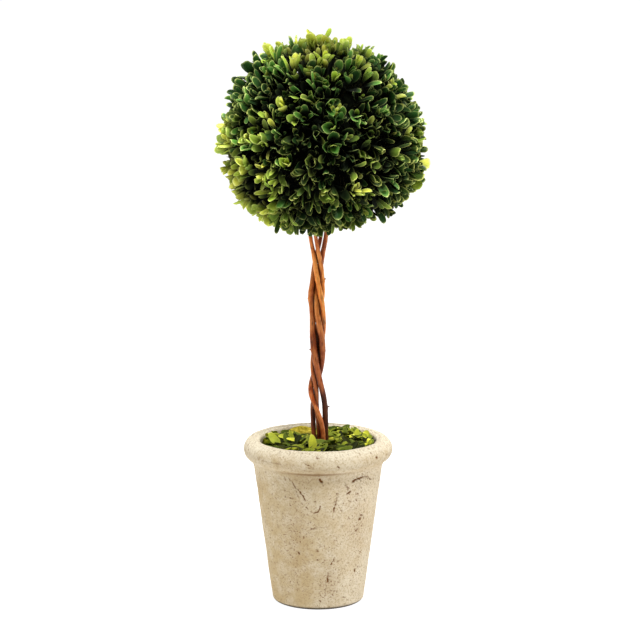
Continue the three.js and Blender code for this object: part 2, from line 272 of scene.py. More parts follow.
def square_to(axis):
    """Two directions square to each axis and to each other."""
    across = unit(np.cross(axis, [0.31, 0.17, 1.0]))
    return across, np.cross(axis, across)


def revolve(r, z, turn):
    """Points of a profile turned about the upright axis, row by row."""
    r, z = r[:, None], z[:, None]
    return np.stack([r * np.cos(turn), r * np.sin(turn), z + 0 * turn], -1).reshape(-1, 3)


# materials
MIX_FIRST, MIX_SECOND, MIX_RESULT = 6, 7, 2  # colour sockets of a mix node


class Shader:
    """A material whose nodes are made by short calls."""

    def __init__(self, name, roughness=0.6, specular=0.5):
        self.material = bpy.data.materials.new(name)
        self.material.use_nodes = True
        self.tree = self.material.node_tree
        self.bsdf = self.tree.nodes["Principled BSDF"]
        self.bsdf.inputs["Roughness"].default_value = roughness
        self.bsdf.inputs["Specular IOR Level"].default_value = specular

    def node(self, kind, **sockets):
        made = self.tree.nodes.new(kind)
        for key, value in sockets.items():
            self.put(made.inputs[key], value)
        return made

    def put(self, socket, value):
        """Links a socket to another one, or sets its value."""
        if isinstance(value, bpy.types.NodeSocket):
            self.tree.links.new(value, socket)
        else:
            socket.default_value = value

    def place(self, scale=(1, 1, 1)):
        """Places on the object itself, drawn out where the scale is small."""
        coordinates = self.tree.nodes.new("ShaderNodeTexCoord").outputs["Object"]
        mapping = self.tree.nodes.new("ShaderNodeMapping")
        self.put(mapping.inputs["Vector"], coordinates)
        mapping.inputs["Scale"].default_value = scale
        return mapping.outputs["Vector"]

    def noise(self, size, detail=3.0, rough=0.55, place=None, distort=0.0):
        """Noise with features about size mm wide."""
        made = self.node("ShaderNodeTexNoise", Vector=place or self.place(), Scale=1 / (size * MM),
                         Detail=detail, Roughness=rough, Distortion=distort)
        return made.outputs["Fac"]

    def ramp(self, value, *stops):
        """Colours by value; each stop is a value and its colour, the lowest and the highest first."""
        made = self.tree.nodes.new("ShaderNodeValToRGB")
        self.put(made.inputs["Fac"], value)
        for n, (at, color) in enumerate(stops):
            stop = made.color_ramp.elements[n] if n < 2 else made.color_ramp.elements.new(at)
            stop.position = at
            stop.color = (*color, 1)
        return made.outputs["Color"]

    def tones(self, value, stops, dark, middle, light):
        """A ramp through three colours given from 0 to 255."""
        low, half, high = stops
        return self.ramp(value, (low, rgb(dark)), (high, rgb(light)), (half, rgb(middle)))

    def mask(self, value, low, high, most=1, least=0):
        """A grey ramp, from its least below a low value to its most above a high one."""
        return self.ramp(value, (low, (least,) * 3), (high, (most,) * 3))

    def mix(self, share, first, second, kind="MIX"):
        made = self.tree.nodes.new("ShaderNodeMix")
        made.data_type = "RGBA"
        made.blend_type = kind
        self.put(made.inputs["Factor"], share)
        for socket, color in ((MIX_FIRST, first), (MIX_SECOND, second)):
            self.put(made.inputs[socket], color if isinstance(color, bpy.types.NodeSocket) else (*color, 1))
        return made.outputs[MIX_RESULT]

    def math(self, kind, a, b=0.0, clamp=False):
        made = self.tree.nodes.new("ShaderNodeMath")
        made.operation = kind
        made.use_clamp = clamp
        self.put(made.inputs[0], a)
        self.put(made.inputs[1], b)
        return made.outputs[0]

    def attribute(self, name, share=1, clamp=False):
        """A share of the numbers that values() keeps under this name."""
        made = self.tree.nodes.new("ShaderNodeAttribute")
        made.attribute_name = name
        kept = made.outputs["Fac"]
        return kept if share == 1 else self.math("MULTIPLY", kept, share, clamp)

    def color(self, value):
        self.put(self.bsdf.inputs["Base Color"], value)

    def roughness(self, value):
        self.put(self.bsdf.inputs["Roughness"], value)

    def bump(self, height, distance, strength=1.0):
        """Fine relief, in millimetres, on top of what is there already."""
        made = self.node("ShaderNodeBump", Height=height, Strength=strength, Distance=distance * MM)
        if self.bsdf.inputs["Normal"].links:
            self.put(made.inputs["Normal"], self.bsdf.inputs["Normal"].links[0].from_socket)
        self.put(self.bsdf.inputs["Normal"], made.outputs["Normal"])


def rgb(code):
    """A colour given as red, green and blue from 0 to 255, as linear light."""
    return tuple(c / 12.92 if c <= 0.04045 else ((c + 0.055) / 1.055) ** 2.4 for c in (v / 255 for v in code))


# Colours of painted shade towards the stalk and deep inside the ball.
STALK_DARK, DEPTH_DARK = (0.006, 0.008, 0.003), (0.003, 0.0055, 0.0015)
MARGIN_SHARPNESS = 14.0


def leaf_material(name, code, margin, shine=0.34, specular=0.26, vary=0.5):
    """Box leaf: each leaf has its own shade, is darker towards its stalk and has a paler margin, partly its
    own colour and partly a painted highlight. Deep inside the ball it is nearly black. Both darkenings
    are painted shade."""
    s = Shader(name, roughness=shine, specular=specular)
    base = rgb(code)
    dark = (base[0] * (1 - vary), base[1] * (1 - 0.8 * vary), base[2] * (1 - 0.6 * vary))
    light = (min(base[0] * (1 + 1.3 * vary), 1), min(base[1] * (1 + 1.1 * vary), 1), base[2] * (1 + vary))
    mottle = s.math("MULTIPLY", s.math("ADD", s.noise(8, 2), s.noise(2, 3)), 0.28)
    tone = s.math("ADD", s.attribute("own", 0.6), s.math("SUBTRACT", mottle, 0.08))
    color = s.ramp(tone, (0.15, dark), (0.85, light))
    # Painted shade towards the stalk.
    color = s.mix(s.attribute("stalk", 0.35), color, STALK_DARK)
    # Paler margin: partly the leaf's own paler edge, partly a painted highlight on lit edges.
    rim = s.math("POWER", s.attribute("edge"), MARGIN_SHARPNESS)
    strength = s.math("ADD", s.attribute("own", 1.5), 0.15)
    color = s.mix(s.math("MULTIPLY", rim, strength, True), color, rgb(margin))
    # Painted shade deep inside the ball.
    s.color(s.mix(s.attribute("depth"), color, DEPTH_DARK))
    s.roughness(s.math("ADD", s.attribute("depth", 0.5), shine))
    s.bump(s.noise(1.6, 2), 0.12, 0.5)
    return s.material


BARK_STOPS = (0.34, 0.48, 0.64)
GOLDEN_BARK = [(150, 64, 12), (224, 118, 34), (250, 168, 78)]
# Colours of painted shade low on the stems and between them, and of darker bark in the furrows.
DUSK_BARK, CREVICE_BARK, HOLLOW_BARK = (52, 24, 12), (30, 10, 4), (58, 24, 12)


def bark_material(name, light, middle, dark):
    """Peeled bark, golden where the point value glow is high, with painted shade where dusk is and between
    the stems.
    """
    s = Shader(name, roughness=0.5, specular=0.2)
    streaks = s.place((1, 1, 0.1))
    long = s.noise(2.6, 4, 0.55, streaks, 0.3)
    patches = s.noise(18, 3, 0.6)
    tone = s.math("ADD", s.math("MULTIPLY", long, 0.55), s.math("MULTIPLY", patches, 0.45))
    # The outward side of each stem is a little lighter: painted light.
    tone = s.math("ADD", tone, s.attribute("ridge", 0.1))
    color = s.tones(tone, BARK_STOPS, dark, middle, light)
    color = s.mix(s.attribute("glow"), color, s.tones(tone, BARK_STOPS, *GOLDEN_BARK))
    # Painted shade low down and on the stems behind.
    color = s.mix(s.attribute("dusk"), color, rgb(DUSK_BARK))
    flecks = s.ramp(s.noise(1.2, 2, 0.5, streaks), (0.28, (0.5, 0.45, 0.4)), (0.4, (1, 1, 1)))
    color = s.mix(1.0, color, flecks, "MULTIPLY")
    # Painted shade between the stems and on their inward sides.
    color = s.mix(s.attribute("crevice"), color, rgb(CREVICE_BARK))
    s.color(s.mix(s.attribute("hollow"), color, rgb(HOLLOW_BARK)))
    s.roughness(s.mask(long, 0.3, 0.7, most=0.32, least=0.5))
    s.bump(long, 0.3, 0.45)
    s.bump(s.noise(0.8, 2, 0.5, streaks), 0.1, 0.3)
    return s.material


# pot
POT_COLUMNS, FRONT_CROWDING = 360, 0.55
# Where the wall ends under the fillet, the angles of the rim's bead, its inner lip and the inner wall.
WALL_TOP_RADIUS, WALL_TOP, WALL_ROWS = 73.3, 156.5, 190
BEAD_START, BEAD_END = -64, 96
LIP_ROUND, INNER_TOP, INNER_ROWS = 3.6, 182, 16


def arc(x, z, radius, start, end, steps):
    """Points on an arc from one angle to another, in degrees."""
    a = np.radians(np.linspace(start, end, steps))
    return np.stack([x + radius * np.cos(a), z + radius * np.sin(a)], 1)


def pot_profile():
    """Radius and height from the middle of the underside, up the outside, over the rim and down inside."""
    bead = RIM_THICK / 2
    body = np.stack([np.linspace(FOOT_RADIUS, WALL_TOP_RADIUS, WALL_ROWS),
                     np.linspace(FOOT_ROUND + 0.4, WALL_TOP, WALL_ROWS)], 1)
    joint = np.array([BODY_TOP_RADIUS - 0.2, BODY_TOP - 1.0])
    onto = arc(RIM_RADIUS, RIM_HEIGHT, bead, BEAD_START, BEAD_END, 2)[0]
    t = np.linspace(0, 1, 13)[1:-1, None]
    fillet = (1 - t) ** 2 * body[-1] + 2 * t * (1 - t) * joint + t * t * onto
    rim = arc(RIM_RADIUS, RIM_HEIGHT, bead, BEAD_START, BEAD_END, 34)
    lip = arc(MOUTH_RADIUS + LIP_ROUND, MOUTH_HEIGHT - 0.2, LIP_ROUND, 72, 180, 8)
    inner = np.stack([np.linspace(wall(INNER_TOP), FLOOR_RADIUS, INNER_ROWS),
                      np.linspace(INNER_TOP, FLOOR_THICK, INNER_ROWS)], 1)
    under = np.array([[0.01, 0], [24, 0], [44, 0]])
    inside = np.array([[0.01, FLOOR_THICK]])
    foot = arc(FOOT_RADIUS - FOOT_ROUND, FOOT_ROUND, FOOT_ROUND, -90, -7, 11)
    return np.concatenate([under, foot, body, fillet, rim, lip, inner, inside])


# Scratches and pits on the pot's front: points as millimetres to the right of the middle and height,
# with half the width, the depth and how dark it is.
MARKS = [
    ([(-33.5, 160), (-26, 150), (-20.5, 144)], 0.5, 0.5, 0.6),
    ([(-20.5, 144), (-16.5, 139), (-14.5, 134)], 0.8, 0.8, 1.0),
    ([(-13, 126), (-10, 121.5), (-4.5, 119)], 0.6, 0.3, 0.45),
    ([(-4.5, 119), (-0.5, 120), (2, 124), (2.4, 127)], 0.9, 0.8, 0.9),
    ([(21, 142), (20.6, 134), (20.2, 130)], 0.6, 0.6, 0.7),
    ([(20.2, 130), (18.2, 124), (17.6, 121)], 1.1, 0.8, 0.9),
    ([(40, 155), (43, 156.4)], 1.1, 0.9, 1.5),
    ([(43, 156.4), (50, 157.6)], 0.9, 0.9, 1.3),
    ([(50, 157.6), (56, 157), (61, 151)], 0.7, 0.9, 0.8),
    ([(31, 151), (33, 148), (36, 142.5), (34.5, 141)], 1.2, 0.9, 0.75),
    ([(2.2, 160), (4.2, 156.4)], 1.2, 1.0, 1.4),
    ([(3.2, 157), (6, 152)], 0.5, 0.5, 0.7),
    ([(49.2, 111), (47.4, 106.5)], 1.2, 0.9, 0.9),
    ([(44.6, 96), (43.2, 93)], 1.0, 0.7, 0.8),
    ([(11.6, 46), (10.8, 39), (11, 35)], 1.0, 0.8, 0.6),
    ([(18.4, 64), (16, 59.5), (14.6, 56)], 0.8, 0.7, 0.8),
    ([(9, 31), (8.4, 25), (8, 18)], 0.5, 0.5, 0.6),
    ([(-1.4, 73.6), (-0.4, 72.6)], 0.9, 0.7, 0.8),
    ([(-22, 70.5), (-21.4, 69)], 1.1, 0.8, 0.8),
    ([(2, 11.5), (3, 10.5)], 1.1, 0.8, 0.8),
    ([(35, 111.5), (35.6, 110)], 0.9, 0.6, 0.7),
    ([(43, 132), (43.4, 130)], 0.9, 0.6, 0.7),
    ([(45.4, 139), (45.6, 137)], 0.7, 0.6, 0.7),
    ([(42.3, 46), (42.4, 43)], 0.9, 0.6, 0.7),
    ([(46, 48), (45.6, 46)], 0.9, 0.6, 0.7),
    ([(-8, 100), (-5, 100.3)], 0.8, 0.6, 0.8),
    ([(-5, 100.3), (2, 101.2), (10, 102)], 0.4, 0.3, 0.4),
    ([(-14, 179.6), (-10, 178.4), (-5.5, 176)], 0.5, 0.6, 0.9),
    ([(-13, 176.6), (-9, 175.6), (-6, 175)], 0.35, 0.4, 0.4),
    ([(22.6, 177), (23.6, 175.4), (24.8, 174.2)], 0.8, 0.9, 0.8),
    ([(-68.4, 179), (-67.6, 178)], 0.6, 0.5, 0.5),
    ([(59.6, 187), (60.4, 186)], 0.8, 0.7, 0.7),
    ([(66.6, 180.6), (67.2, 179.4)], 1.1, 0.8, 0.8),
    ([(-64, 178), (-54, 177.6), (-43, 178), (-20, 178)], 0.35, 0.3, 0.35),
]
MARK_WIDTH, STAIN_WIDTH, STAIN_DARK = 0.92, 0.95, 1.3


def near_marks(points):
    """How deep the marks are at each point, and how dark: their edges wander and they come and go."""
    wander = 0.9 * np.stack([fbm(points, 5, 21, 2), fbm(points, 5, 22, 2)], 1)
    strength = np.clip(0.9 + 1.5 * fbm(points, 3, 23, 2), 0.1, 1.4)
    depth, dark = np.zeros(len(points)), np.zeros(len(points))
    front = points[:, 1] < 0
    flat = points[:, [0, 2]] + wander
    for line, half, deep, tone in MARKS:
        half *= MARK_WIDTH
        for a, b in zip(line, line[1:]):
            a, b = np.array(a, float), np.array(b, float)
            t = np.clip(((flat - a) @ (b - a)) / ((b - a) @ (b - a)), 0, 1)
            far = np.linalg.norm(flat - a - t[:, None] * (b - a), axis=1)
            stain = STAIN_DARK * tone * hump(far, 0, STAIN_WIDTH * half)
            depth = np.maximum(depth, np.where(front, deep * hump(far, 0, half), 0))
            dark = np.maximum(dark, np.where(front, stain, 0))
    return depth * strength, dark * strength


CLAY = {
    "shaded": (188, 169, 134),
    "sunny": (198, 185, 158),
    "ochre": (184, 159, 111),
    # pinker, paler clay on the right: partly a tint, partly painted light
    "pink": (228, 212, 184),
    # painted light on the top of the rim
    "bleached": (236, 228, 206),
    "cloud": (224, 214, 192),
    "grain": (164, 140, 102),
    "speckled": (164, 140, 106),
    "specks": (112, 74, 40),
    "stains": (150, 116, 80),
    "marks": (104, 64, 26),
    # painted shadow under the rim
    "crease": (126, 100, 68),
    # painted contact shadow along the foot's bottom edge
    "grime": (34, 25, 19),
}


def pot_material():
    """Pale aged clay: clouded, yellower low on the left and pinker low on the right, where painted light also
    pales it, with brown specks.
    """
    s = Shader("aged_clay", roughness=0.85, specular=0.2)
    broad = s.noise(60, 3, 0.6)
    cloud = s.noise(15, 5, 0.65)
    fine = s.noise(2.2, 4, 0.7)

    def spread(color, name, share):
        """The clay with its colour of this name mixed in, by the point value of the same name."""
        return s.mix(s.attribute(name, share, True), color, rgb(CLAY[name]))

    color = s.ramp(broad, (0.38, rgb(CLAY["shaded"])), (0.62, rgb(CLAY["sunny"])))
    for name, share in (("ochre", 0.45), ("pink", 0.45), ("bleached", 1)):
        color = spread(color, name, share)
    color = s.mix(s.mask(cloud, 0.44, 0.64, most=0.34), color, rgb(CLAY["cloud"]))
    color = s.mix(s.mask(fine, 0.48, 0.62, most=0.6), color, rgb(CLAY["grain"]))
    color = spread(color, "speckled", 0.25)
    gather = s.mask(s.noise(22, 3, 0.6), 0.42, 0.58, least=0.1)
    gather = s.mix(s.attribute("speckled"), gather, (1, 1, 1))
    gather = s.mix(s.attribute("smooth"), gather, (0.2, 0.2, 0.2))
    spotted = s.math("ADD", s.noise(1.9, 2, 0.5), s.attribute("speckled", 0.025))
    specks = s.mask(spotted, 0.62, 0.68, most=0.8)
    color = s.mix(s.mix(1.0, specks, gather, "MULTIPLY"), color, rgb(CLAY["specks"]))
    stains = s.mask(s.noise(4.2, 4, 0.7), 0.60, 0.70, most=0.6)
    color = s.mix(s.mix(1.0, stains, gather, "MULTIPLY"), color, rgb(CLAY["stains"]))
    # Real marks, then painted shadow under the rim and along the foot.
    for name, share in (("marks", 1.1), ("crease", 0.8), ("grime", 1)):
        color = spread(color, name, share)
    s.color(color)
    s.bump(cloud, 0.6, 0.5)
    s.bump(fine, 0.3, 0.7)
    s.bump(specks, -0.3, 0.6)
    return s.material


# Speckled patches on the front: where from left to right, height, and half the size both ways.
PATCHES = [(-24, 95, 14, 55), (13, 35, 10, 30), (44, 100, 11, 45)]
# Shadow where the rim meets the body: height, how far up and down, and how dark.
CREASES = [(165.8, 1.5, 0.8), (163, 4, 0.25), (171, 4, 0.2)]


def make_pot():
    """The pot with its fine relief, and what its clay reads at each point."""
    profile = pot_profile()
    turn = circle(POT_COLUMNS)
    turn -= FRONT_CROWDING * np.cos(turn)  # closer together at the front
    points = revolve(profile[:, 0], profile[:, 1], turn)
    out = np.gradient(profile, axis=0)
    normal = unit(np.stack([out[:, 1], -out[:, 0]], 1))
    shown = np.repeat((profile[:, 1] > 3).astype(float), POT_COLUMNS)  # the underside stays flat
    rough = 0.45 * fbm(points, 42, 1, 2) + 0.16 * fbm(points, 7, 2, 3)
    pits = np.clip(fbm(points, 3.2, 3, 2) - 0.52, 0, 0.6)
    marks, dark = near_marks(points)
    depth = (rough - 1.5 * pits - marks) * shown
    points += revolve(normal[:, 0], normal[:, 1], turn) * depth[:, None]
    # Painted shadow under the rim, strongest in the middle from left to right.
    crease = sum(share * hump(profile[:, 1], level, tall) for level, tall, share in CREASES)
    crease *= profile[:, 0] > 72  # not on the inner wall
    crease = np.repeat(crease, POT_COLUMNS) * (0.1 + 1.25 * hump(points[:, 0], -4, 34))
    faces = grid(len(profile), POT_COLUMNS)[:, ::-1]
    made = piece("clay_pot", points, [faces], pot_material(), "pot")
    x, z = points[:, 0], points[:, 2]
    patches = sum(hump(x, right, wide) * hump(z, level, tall) for right, level, wide, tall in PATCHES)
    # The foot's lowest 4 mm are darkened: a painted contact shadow.
    values(made, marks=np.clip(dark + pits * 1.6, 0, 1), crease=crease, grime=fade(z, 4.2, 2),
           # The top of the rim is made paler: painted light.
           ochre=fade(z, 178, 123) * fade(x, 24, -20), bleached=0.55 * fade(z, 181, 189),
           # Pinker, paler clay on the right side: partly a tint, partly painted light.
           pink=(1.3 - 0.4 * fade(z, 172, 72) - 0.8 * fade(z, 162, 170)) * fade(x, -4, 36),
           speckled=np.clip(patches, 0, 1), smooth=0.8 * fade(z, 160, 170))


# stems
STEM_ROWS, STEM_COLUMNS = 230, 22
BUD_ROWS, BUD_COLUMNS = 9, 10
# Low rings of old nodes: how many, over what height, how thick and how far up and down.
NODE_COUNT, NODE_REACH, NODE_THICK, NODE_TALL = 6, 270, 0.22, 1.5
# How golden each stem is high up, and how much painted shade it has low down.
GLOW = [0.95, 0.95, 0.4, 0.5]
DUSK = [0.1, 0.15, 0.8, 0.35]
# Where all the stems are a little thicker: height, how far up and down, and how much.
THICKER = [(306, 32, 0.65), (360, 9, 0.45), (386, 12, 0.35)]
# Stems in shadow behind the others: stem, height, how far up and down.
SHADED = [(0, 296, 14), (1, 297, 15)]


def bud_points(centre, radius, side, length, thick):
    """Points of the stub of a cut side shoot: it leaves the stem sideways and a little upward."""
    away = unit(np.array([math.cos(side), math.sin(side), 0.35]))
    across = unit(np.cross(away, [0, 0, 1]))
    up = np.cross(across, away)
    ts = np.linspace(0, 1, BUD_ROWS)
    shape = np.sin(np.pi * ts ** 0.75) ** 0.8 * thick / 2 + 0.02
    return [centre + away * (t * (length + radius)) + q * (across * np.cos(a) + up * np.sin(a))
            for t, q in zip(ts, shape) for a in circle(BUD_COLUMNS)]


def color_stem(made, k, points):
    """How near each point is to the other stems, how far out it stands, how golden it is and how dark:
    painted shade and light.
    """
    line, radius = LINES[k][::-1], RADII[k][::-1]
    height = points[:, 2]
    gap = np.min([from_stem(points, j) for j in range(len(STEMS)) if j != k], axis=0)
    axis = followed(LINES.mean(0)[::-1], height)
    own = followed(line, height)
    size = np.interp(height, line[:, 2], radius)
    # How far out a point stands on its stem, seen from the plait's middle: the outward side gets painted
    # light.
    ridge = (np.linalg.norm(points[:, :2] - axis, axis=1) - np.linalg.norm(own - axis, axis=1)) / size
    # Painted shade: on each stem's inward side, and where it nearly touches another stem.
    inner = fade(ridge, 0.4, -0.9) * fade(height, 425, 395)
    # Painted shade on the lower stems.
    dusk = np.maximum(DUSK[k] * fade(height, 262, 238), 0.22 * fade(height, 335, 305))
    for stem, level, tall in SHADED:
        if stem == k:
            shadow = 0.85 * np.exp(-((height - level) / tall) ** 4)
            dusk = np.maximum(dusk, shadow * np.clip(0.7 - ridge, 0, 1))
    values(made, crevice=np.maximum(0.95 * fade(gap, 2.8, 0), 0.6 * inner), ridge=fade(ridge, 0.3, 0.9),
           glow=GLOW[k] * hump(height, 362, 46), dusk=dusk)


def make_stem(k, material):
    """A stem's bark with its furrows, lumps, rings of old nodes and stubs."""
    name = STEMS[k]["name"]
    line, radius = LINES[k][::-1], RADII[k][::-1]
    s = np.linspace(0, STEM_STEPS, STEM_ROWS)
    z = np.interp(s, np.arange(STEM_STEPS + 1), line[:, 2])
    r = np.interp(s, np.arange(STEM_STEPS + 1), radius)
    turn = circle(STEM_COLUMNS)
    around = np.stack([np.cos(turn), np.sin(turn), 0 * turn], 1)
    centre = np.stack([*([along(line[:, n], v) for v in s] for n in (0, 1)), z], 1)
    skin = revolve(r, z * 0.14, turn)  # drawn together lengthwise, so that the furrows run long
    furrow = fbm(skin, 1.5, k + 1, 3).reshape(STEM_ROWS, STEM_COLUMNS)
    lump = fbm(skin * np.array([0.4, 0.4, 1]), 1.7, k + 7, 2).reshape(STEM_ROWS, STEM_COLUMNS)
    extra = 0.07 * furrow + 0.13 * lump - 0.1 - 0.5 * fade(z, 402, 427)[:, None]
    for n in range(NODE_COUNT):
        at = LEVEL + 14 + NODE_REACH * (n + chance(n, 60 + k)) / NODE_COUNT
        extra += NODE_THICK * hump(z, at, NODE_TALL)[:, None]
    for height, tall, more in THICKER:
        extra += more * hump(z, height, tall)[:, None]
    buds = [(height, math.radians(side), length, thick)
            for stem, height, side, length, thick in BUDS if stem == name]
    for height, side, _, _ in buds:
        off = np.angle(np.exp(1j * (turn - side)))
        extra += 0.5 * hump(z, height, 2.6)[:, None] * hump(off, 0, 0.8)[None]
    points = (centre[:, None] + around[None] * (r[:, None] + extra)[..., None]).reshape(-1, 3)
    hollow = np.clip(-furrow * 1.6 - 0.35, 0, 1).reshape(-1)
    last = (STEM_ROWS - 1) * STEM_COLUMNS
    caps = [np.arange(STEM_COLUMNS)[None, ::-1], np.arange(last, last + STEM_COLUMNS)[None]]
    faces = [grid(STEM_ROWS, STEM_COLUMNS)]
    for height, side, length, thick in buds:
        n = int(np.argmin(abs(z - height)))
        faces.append(grid(BUD_ROWS, BUD_COLUMNS)[:, ::-1] + len(points))
        points = np.concatenate([points, bud_points(centre[n], r[n], side, length, thick)])
        hollow = np.concatenate([hollow, np.full(BUD_ROWS * BUD_COLUMNS, 0.55)])
    made = piece(name + "_bark", points, faces + caps, material, name)
    values(made, hollow=hollow)
    color_stem(made, k, points)


# leaves
# Rows of a leaf: share of its length and of its half width, and the shares across it. Leaves on the
# ball are broadest near the tip, fallen ones near the middle.
ROWS = [(0.0, 0.10), (0.17, 0.30), (0.36, 0.63), (0.55, 0.93), (0.73, 1.0), (0.88, 0.84), (0.965, 0.5)]
FALLEN = [(0.0, 0.10), (0.14, 0.42), (0.32, 0.84), (0.5, 1.0), (0.68, 0.92), (0.84, 0.7), (0.95, 0.4)]
ACROSS = [-1, -0.55, 0, 0.55, 1]
# How a blade curves up toward its margins, how deep its rib lies, and how much a bent leaf shortens.
CUP_CURVE, RIB_DEPTH, SHORTENING = 2.1, 0.05, 0.35


def leaf_mesh(outline, root, ahead, face, length, width, cup, bend):
    """Points and faces of many leaves at once: spatulate, cupped, with a crease along the middle rib."""
    ahead = unit(ahead)
    side = unit(np.cross(ahead, face))
    up = np.cross(side, ahead)
    t = np.array([row[0] for row in outline for _ in ACROSS] + [1.0])
    w = np.array([row[1] * u for row in outline for u in ACROSS] + [0.0])
    u = np.array([u for _ in outline for u in ACROSS] + [0.0])
    share = np.array([row[1] for row in outline for _ in ACROSS] + [0.3])
    rise = share * abs(u) ** CUP_CURVE
    crease = -RIB_DEPTH * share * (abs(u) < 0.1)
    half = (width / 2)[:, None]
    x = half * w * np.cos(0.5 * np.clip(cup, 0, 2))[:, None]
    y = length[:, None] * (t - SHORTENING * (bend ** 2)[:, None] * t ** 3)
    h = half * (rise * cup[:, None] + crease) - (bend * length)[:, None] * t * t
    points = (root[:, None] + side[:, None] * x[..., None] + ahead[:, None] * y[..., None]
              + up[:, None] * h[..., None])
    quads = grid(len(outline), len(ACROSS), False)
    last = (len(outline) - 1) * len(ACROSS)
    tris = np.array([[last + n, last + n + 1, len(t) - 1] for n in range(len(ACROSS) - 1)])
    return points.reshape(-1, 3), [repeated(faces, len(t), len(root)) for faces in (quads, tris)]


def leaf_piece(name, leaves, own, material, node, slot):
    """One mesh of many leaves, with a shade of its own for each, and for each point how near it is to
    the margin, to the stalk and to the inside of the ball."""
    outline = ROWS if slot == "leaves" else FALLEN
    points, faces = leaf_mesh(outline, *leaves)
    made = piece(name, points, faces, material, node)
    # Nearness to the margin, for a paler margin that is partly painted highlight.
    edge = np.array([max(abs(u), fade(row[0], 0.62, 0.97)) for row in outline for u in ACROSS] + [1.0])
    # Nearness to the stalk, for painted shade there.
    stalk = np.array([1 - row[0] for row in outline for _ in ACROSS] + [0.0])
    # How far under the clipped outline each point lies, for painted shade inside the ball.
    away = points - BALL_CENTRE
    under = reach(unit(away)) - np.linalg.norm(away, axis=1)
    values(made, own=np.repeat(own, len(edge)), edge=np.tile(edge, len(own)),
           stalk=np.tile(stalk, len(own)), depth=fade(under, 4.5, 18.5) * (slot == "leaves"))


# ball
FORKS, FORK_SPREAD = 7, 0.225
SHOOT_COUNT = SPRIG_COUNT * FORKS
# How deep tips lie under the clipped outline: the outermost, how much they vary, lime sprays, strays.
TIP_DEPTH, TIP_VARIES, LIME_DEPTH, STRAY_DEPTH = 18.6, 13.5, 16.5, 15.5
# Shoots that stand out at the clipped outline: heading, how much further out, and lean to the right.
STRAYS = [((-0.07, -0.06, 1), 5, -0.5), ((0.03, -0.04, 1), 3, 0.45), ((0.9, -0.1, -0.45), 4, 0),
          ((-0.99, -0.05, -0.13), 0, 0), ((-0.52, -0.1, 0.85), 3, 0), ((0.61, -0.16, -0.8), -6, -0.12)]
# Where the clipping has left the ball fuller or flatter: heading and how much.
BULGES = [((0.87, -0.1, -0.5), 4), ((-0.9, -0.1, -0.45), -4), ((0.1, -0.1, -1), -2.5),
          ((0, -0.1, 1), -4.5), ((-0.42, -0.1, 1), 3.5), ((0.52, -0.1, 0.87), -3),
          ((0.69, -0.1, -0.72), -4.5), ((-0.5, -0.1, -0.87), 3.5)]
BULGE_EDGE = 0.86  # cosine of the angle at which a bulge has run out
# Young lime sprays on the front: how far across and how high, as shares of the ball's radius.
LIME = [(-0.36, 0.40), (0.92, -0.35), (0.86, 0.0), (-0.61, 0.27), (-0.72, -0.34), (-0.02, 0.79),
        (0.41, 0.75), (-0.36, 0.77), (-0.32, -0.18), (0.24, -0.37), (0.32, -0.53), (-0.53, 0.12),
        (0.18, 0.42), (0.77, 0.5), (-0.62, -0.58), (-0.46, -0.5)]


def bulge(place):
    """How far the ball stands out past its clipped outline at each heading."""
    return sum(more * fade(place @ unit(np.array(heading, float)), BULGE_EDGE, 1) for heading, more in BULGES)


def lime_shoots(place):
    """Numbers of the shoots that stand nearest to the lime sprays."""
    return [np.argmax(place @ np.array([x, -math.sqrt(1 - x * x - z * z), z])) for x, z in LIME]


def grow_ball():
    """Shoots of the ball: each twig of the source forks into finer shoots round it."""
    i = np.repeat(np.arange(SPRIG_COUNT), FORKS)
    j = np.tile(np.arange(FORKS), SPRIG_COUNT)
    ident = np.arange(SHOOT_COUNT)
    out = headings(SPRIG_COUNT)[i]
    sideways = unit(np.cross(out, [0, 0, 1.0]))
    upward = np.cross(sideways, out)
    far = FORK_SPREAD * np.sqrt((j + 0.5) / FORKS) * (0.8 + 0.4 * chance(ident, 3))
    turn = j * GOLDEN + 2 * np.pi * chance(i, 4)
    place = unit(out + sideways * (far * np.cos(turn))[:, None] + upward * (far * np.sin(turn))[:, None])
    past = -TIP_DEPTH - TIP_VARIES * chance(ident, 8) ** 1.3 + bulge(place)
    lime = lime_shoots(place)
    past[lime] = -LIME_DEPTH + bulge(place[lime])
    stray = unit(np.array([heading for heading, _, _ in STRAYS], float))
    place = np.concatenate([place, stray])
    past = np.concatenate([past, [-STRAY_DEPTH + further for _, further, _ in STRAYS]])
    ident = np.arange(len(place))
    i = np.concatenate([i, np.zeros(len(stray), int)])
    wild = 0.22 + 0.3 * (chance(ident, 11) > 0.8)
    tilt = np.stack([chance(ident, 5), chance(ident, 6), chance(ident, 7)], 1) - 0.5
    axis = unit(place + (2 * wild)[:, None] * (tilt - (tilt * place).sum(1, keepdims=True) * place))
    axis[lime] = unit(axis[lime] + np.array([0, 0, 0.75]))
    axis[-len(stray):] = unit(stray + np.array([[lean, 0, 0] for _, _, lean in STRAYS]))
    tip = BALL_CENTRE + place * (reach(place) + past)[:, None]
    return ident, i, place, axis, tip


# Pairs of leaves on a shoot, from its tip down: distance from the tip, length and opening angle.
PAIRS = [(0.4, 20.5, 13), (5.2, 24.0, 20), (11.0, 26.5, 28), (17.6, 26.5, 38)]
# How leaves vary: turn about the shoot, opening angle in degrees, and the wider opening of those that
# draw above a limit.
ROLL_VARIES, LIFT_VARIES, WIDER, WIDER_ABOVE = 0.7, 16, 34, 0.84


